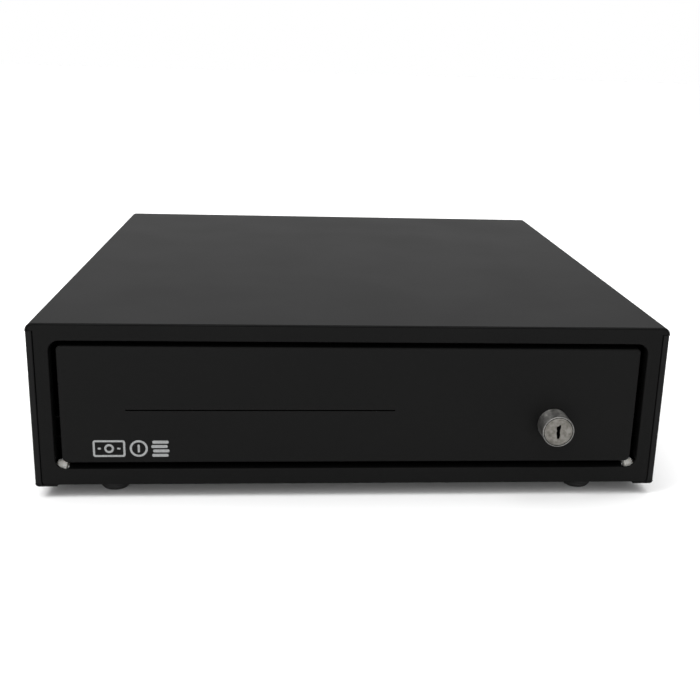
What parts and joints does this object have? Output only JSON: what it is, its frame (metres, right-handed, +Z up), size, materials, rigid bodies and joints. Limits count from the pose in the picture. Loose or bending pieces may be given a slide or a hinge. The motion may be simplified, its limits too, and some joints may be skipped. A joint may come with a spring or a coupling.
{
  "type": "cash drawer",
  "caption": "Black steel cash drawer: a low cabinet with a roller drawer, slotted front, key lock, solenoid latch and a plastic till insert with note clips and coin cups.",
  "frame": {"origin": "centre of the overall box, on the surface that the feet stand on", "axes": "+X to the right seen from the front, -Y out of the drawer front, +Z up"},
  "size_m": [0.41, 0.43, 0.118],
  "materials": {
    "painted_shell": "fine-textured black powder coat",
    "painted_front": "satin black powder coat",
    "zinc_sheet": "bright zinc-plated sheet",
    "zinc_small": "zinc-plated turned and pressed parts",
    "nickel_lock": "nickel-plated lock",
    "steel": "plain steel",
    "spring_steel": "spring steel wire",
    "roller_nylon": "natural nylon",
    "rubber": "black rubber",
    "lead_sleeve": "black sleeved lead",
    "till_plastic": "black moulded plastic, fine grain",
    "clip_plastic": "black moulded plastic",
    "coil_tape": "amber winding tape",
    "switch_plastic": "dark moulded plastic"
  },
  "bodies": {
    "cabinet": {"top_cover": "painted_shell", "front_frame": "painted_shell", "base_plate": "painted_shell", "rear_panel": "painted_shell", "left_rail": "zinc_sheet", "right_rail": "zinc_sheet", "left_rail_stop": "rubber", "right_rail_stop": "rubber", "foot_front_left": "rubber", "foot_front_right": "rubber", "foot_rear_left": "rubber", "foot_rear_right": "rubber", "left_front_axle": "zinc_small", "right_front_axle": "zinc_small", "latch_bracket": "zinc_sheet", "solenoid_frame": "zinc_small", "solenoid_coil": "coil_tape", "latch_pivot_pin": "zinc_small", "latch_spring": "spring_steel", "eject_spring": "spring_steel", "microswitch_body": "switch_plastic", "rj_socket": "switch_plastic", "lock_keeper": "steel", "cover_screw_1": "zinc_small", "cover_screw_2": "zinc_small", "cover_screw_3": "zinc_small", "cover_screw_4": "zinc_small", "solenoid_lead": "lead_sleeve"},
    "drawer": {"drawer_front": "painted_front", "drawer_tray": "zinc_sheet", "left_runner": "zinc_sheet", "right_runner": "zinc_sheet", "left_rear_axle": "zinc_small", "right_rear_axle": "zinc_small", "lock_body": "nickel_lock", "lock_nut": "zinc_small", "striker": "steel", "till_insert": "till_plastic", "coin_tray": "till_plastic", "clip_shaft": "steel", "bar_rivet": "zinc_small", "clip_spring_1": "spring_steel", "clip_spring_2": "spring_steel", "clip_spring_3": "spring_steel", "clip_spring_4": "spring_steel"},
    "key": {"lock_plug": "nickel_lock", "lock_cam": "zinc_small"},
    "release_bar": {"release_bar": "steel"},
    "left_front_wheel": {"left_front_roller": "roller_nylon"},
    "right_front_wheel": {"right_front_roller": "roller_nylon"},
    "left_rear_wheel": {"left_rear_roller": "roller_nylon"},
    "right_rear_wheel": {"right_rear_roller": "roller_nylon"},
    "plunger": {"solenoid_plunger": "steel"},
    "latch": {"latch_lever": "steel"},
    "switch_arm": {"microswitch_lever": "spring_steel"},
    "clip_1": {"note_clip_1": "clip_plastic"},
    "clip_2": {"note_clip_2": "clip_plastic"},
    "clip_3": {"note_clip_3": "clip_plastic"},
    "clip_4": {"note_clip_4": "clip_plastic"}
  },
  "joints": [
    {"name": "drawer_slide", "type": "slide", "parent": "cabinet", "child": "drawer", "axis": [0, -1, 0], "range_m": [0, 0.29], "deforming": ["eject_spring"]},
    {"name": "key_turn", "type": "hinge", "parent": "drawer", "child": "key", "pos_m": [0.1322, -0.2, 0.0515], "axis": [0, 1, 0], "range_deg": [-90, 90]},
    {"name": "release_bar_turn", "type": "hinge", "parent": "drawer", "child": "release_bar", "pos_m": [0.1322, -0.012, 0.0278], "axis": [0, 0, 1], "range_deg": [-3.35, 3.35]},
    {"name": "left_front_roller_turn", "type": "hinge", "parent": "cabinet", "child": "left_front_wheel", "pos_m": [-0.1886, -0.1905, 0.0172], "axis": [1, 0, 0], "continuous": true},
    {"name": "left_rear_roller_turn", "type": "hinge", "parent": "drawer", "child": "left_rear_wheel", "pos_m": [-0.1945, 0.15, 0.04], "axis": [1, 0, 0], "continuous": true},
    {"name": "right_front_roller_turn", "type": "hinge", "parent": "cabinet", "child": "right_front_wheel", "pos_m": [0.1886, -0.1905, 0.0172], "axis": [1, 0, 0], "continuous": true},
    {"name": "right_rear_roller_turn", "type": "hinge", "parent": "drawer", "child": "right_rear_wheel", "pos_m": [0.1945, 0.15, 0.04], "axis": [1, 0, 0], "continuous": true},
    {"name": "plunger_slide", "type": "slide", "parent": "cabinet", "child": "plunger", "axis": [-1, 0, 0], "range_m": [0, 0.0042], "deforming": ["latch_spring"]},
    {"name": "latch_turn", "type": "hinge", "parent": "cabinet", "child": "latch", "pos_m": [0.118, 0.195, 0.0456], "axis": [0, 0, 1], "range_deg": [0, 22]},
    {"name": "switch_press", "type": "hinge", "parent": "cabinet", "child": "switch_arm", "pos_m": [-0.003, 0.18625, 0.0406], "axis": [0, 0, 1], "range_deg": [0, 5], "stiffness_Nm_per_rad": 0.01, "springref_deg": -8.59},
    {"name": "note_clip_1_lift", "type": "hinge", "parent": "drawer", "child": "clip_1", "pos_m": [-0.13118, 0.141, 0.09], "axis": [-1, 0, 0], "range_deg": [0, 44], "stiffness_Nm_per_rad": 0.05, "springref_deg": -28.65, "deforming": ["clip_spring_1"]},
    {"name": "note_clip_2_lift", "type": "hinge", "parent": "drawer", "child": "clip_2", "pos_m": [-0.04372, 0.141, 0.09], "axis": [-1, 0, 0], "range_deg": [0, 44], "stiffness_Nm_per_rad": 0.05, "springref_deg": -28.65, "deforming": ["clip_spring_2"]},
    {"name": "note_clip_3_lift", "type": "hinge", "parent": "drawer", "child": "clip_3", "pos_m": [0.04372, 0.141, 0.09], "axis": [-1, 0, 0], "range_deg": [0, 44], "stiffness_Nm_per_rad": 0.05, "springref_deg": -28.65, "deforming": ["clip_spring_3"]},
    {"name": "note_clip_4_lift", "type": "hinge", "parent": "drawer", "child": "clip_4", "pos_m": [0.13118, 0.141, 0.09], "axis": [-1, 0, 0], "range_deg": [0, 44], "stiffness_Nm_per_rad": 0.05, "springref_deg": -28.65, "deforming": ["clip_spring_4"]}
  ],
  "couplings": [
    {"joint": "release_bar_turn", "follows": "key_turn", "ratio": -0.037},
    {"joint": "latch_turn", "follows": "plunger_slide", "rad_per_m": 91.42},
    {"joint": "left_front_roller_turn", "follows": "drawer_slide", "rad_per_m": 181.82},
    {"joint": "left_rear_roller_turn", "follows": "drawer_slide", "rad_per_m": 166.67},
    {"joint": "right_front_roller_turn", "follows": "drawer_slide", "rad_per_m": 181.82},
    {"joint": "right_rear_roller_turn", "follows": "drawer_slide", "rad_per_m": 166.67}
  ]
}
